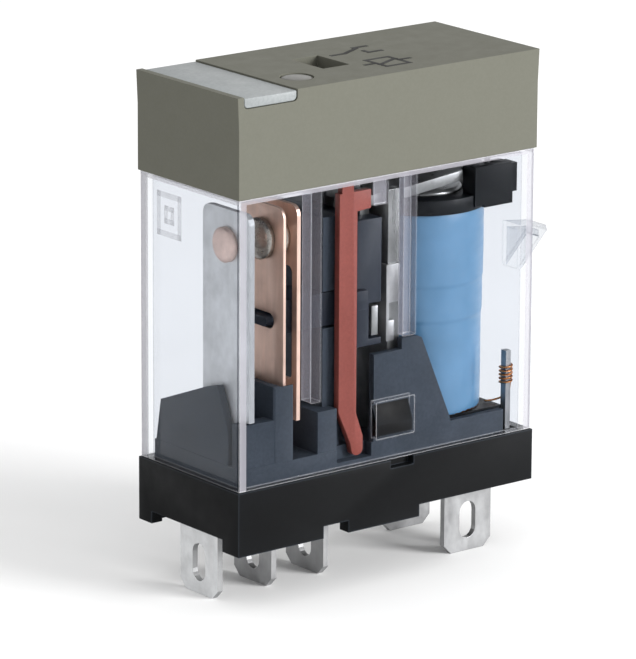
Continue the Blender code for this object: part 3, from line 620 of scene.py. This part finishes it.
def coil_wrap():
    """Blue film around the winding: laps with soft steps, and faint creases."""
    low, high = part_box("coil_tape")
    centre = (low + high) / 2
    radius = (high.x - low.x) / 2
    angles = [2 * math.pi * i / WRAP_TURN for i in range(WRAP_TURN)]
    bm = bmesh.new()
    rings = []
    for row in range(WRAP_ROWS + 1):
        up = row / WRAP_ROWS
        reaches = [radius - film_depth(up, angle) * MM for angle in angles]
        rings.append(ring_of(bm, centre, reaches, low.z + (high.z - low.z) * up))
    inner = [radius - WRAP_DEPTH * MM] * WRAP_TURN
    rings += [ring_of(bm, centre, inner, z) for z in (high.z, low.z)]
    for ring, other in zip(rings, rings[1:] + rings[:1]):
        for i in range(WRAP_TURN):
            j = (i + 1) % WRAP_TURN
            bm.faces.new([ring[i], ring[j], other[j], other[i]])
    wrap = piece("coil_wrap", bm, "film", "housing")
    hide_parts("coil_tape")


coil_wrap()


# ---------------------------------------------------------------- marks


def cap_symbol():
    """A generic relay symbol printed on the cap: a coil box with a slash, and a changeover contact."""
    # The ink starts half its thickness under the surface.
    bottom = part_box("cap")[1].z - INK / 2

    def place(a, b, h):
        return (a * MM, b * MM, bottom + h)

    bm = bmesh.new()
    line = 0.34
    frame_strokes(bm, (1.2, -4.2), (3.4, -1.6), line, place, INK)
    lines = [
        ((1.2, -3.4), (3.4, -2.4)),
        ((0.2, -2.9), (1.2, -2.9)),
        ((3.4, -2.9), (4.4, -2.9)),
        ((0.2, 1.2), (1.4, 1.2)),
        ((1.4, 1.2), (3.2, 2.1)),
        ((3.2, 0.5), (4.4, 0.5)),
        ((3.2, 2.4), (4.4, 2.4)),
        ((3.2, 0.5), (3.2, 1.1)),
    ]
    for i, (start, stop) in enumerate(lines):
        stroke(bm, start, stop, line, place, INK + (i + 4) * LAYER)
    piece("cap_symbol", bm, "ink", "housing")


def end_mark():
    """Two nested squares, the generic sign for double insulation, frosted inside the end wall."""
    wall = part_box("cover")[0].x + COVER_WALL

    def place(a, b, h):
        return (wall + h, a * MM, b * MM)

    bm = bmesh.new()
    frame_strokes(bm, (2.2, 22.9), (4.8, 25.9), 0.45, place, INK)
    frame_strokes(bm, (3.1, 23.9), (3.9, 24.9), 0.4, place, INK)
    piece("end_mark", bm, "frost", "housing")


cap_symbol()
end_mark()


# ---------------------------------------------------------------- floor, light and camera


def pale_floor():
    """A wide pale floor just under the blades."""
    bm = bmesh.new()
    bmesh.ops.create_grid(bm, x_segments=8, y_segments=8, size=3.0)
    bmesh.ops.translate(bm, verts=bm.verts, vec=(0, 0, CAD_BOX[0].z - 0.00002))
    mesh = bpy.data.meshes.new("floor")
    bm.to_mesh(mesh)
    bm.free()
    floor = bpy.data.objects.new("floor", mesh)
    bpy.context.scene.collection.objects.link(floor)
    made, tree, shader = new_material("pale_floor")
    tone = ramp(tree, grain(tree, coordinates(tree), 30, 3), 0.84, 0.88)
    tree.links.new(tone, shader.inputs["Base Color"])
    shader.inputs["Roughness"].default_value = 0.9
    shader.inputs["Specular IOR Level"].default_value = 0.1
    mesh.materials.append(made)


def lamp(name, place, target, size, power):
    """A square soft box that faces the target."""
    data = bpy.data.lights.new(name, "AREA")
    data.size = size
    data.energy = power
    obj = bpy.data.objects.new(name, data)
    obj.location = place
    obj.rotation_euler = (Vector(target) - Vector(place)).to_track_quat("-Z", "Y").to_euler()
    bpy.context.scene.collection.objects.link(obj)


def studio():
    """An even white room with one large lamp at the near side."""
    world = bpy.data.worlds.new("studio")
    world.use_nodes = True
    background = world.node_tree.nodes["Background"]
    background.inputs["Color"].default_value = (1.0, 1.0, 1.0, 1)
    background.inputs["Strength"].default_value = 1.0
    bpy.context.scene.world = world
    lamp("key", (0.3, -0.58, 0.22), target=(0, 0, 0.018), size=0.3, power=6.2)
    bpy.context.scene.view_settings.view_transform = "Standard"


def camera():
    """A long lens at the photograph's angle."""
    azimuth, elevation = math.radians(CAMERA_AZIMUTH), math.radians(CAMERA_ELEVATION)
    flat = Vector((math.sin(azimuth), math.cos(azimuth), 0))
    forward = flat * math.cos(elevation) - Vector((0, 0, math.sin(elevation)))
    right = Vector((math.cos(azimuth), -math.sin(azimuth), 0))
    up = right.cross(forward)
    roll = math.radians(CAMERA_ROLL)
    right, up = right * math.cos(roll) + up * math.sin(roll), up * math.cos(roll) - right * math.sin(roll)
    data = bpy.data.cameras.new("camera")
    data.sensor_width = 36
    data.lens = CAMERA_LENS
    data.clip_start, data.clip_end = 0.01, 20
    obj = bpy.data.objects.new("camera", data)
    turn = Matrix((right, up, -forward)).transposed()
    obj.matrix_world = Matrix.Translation(CAMERA_PLACE) @ turn.to_4x4()
    bpy.context.scene.collection.objects.link(obj)
    bpy.context.scene.camera = obj


pale_floor()
studio()
camera()
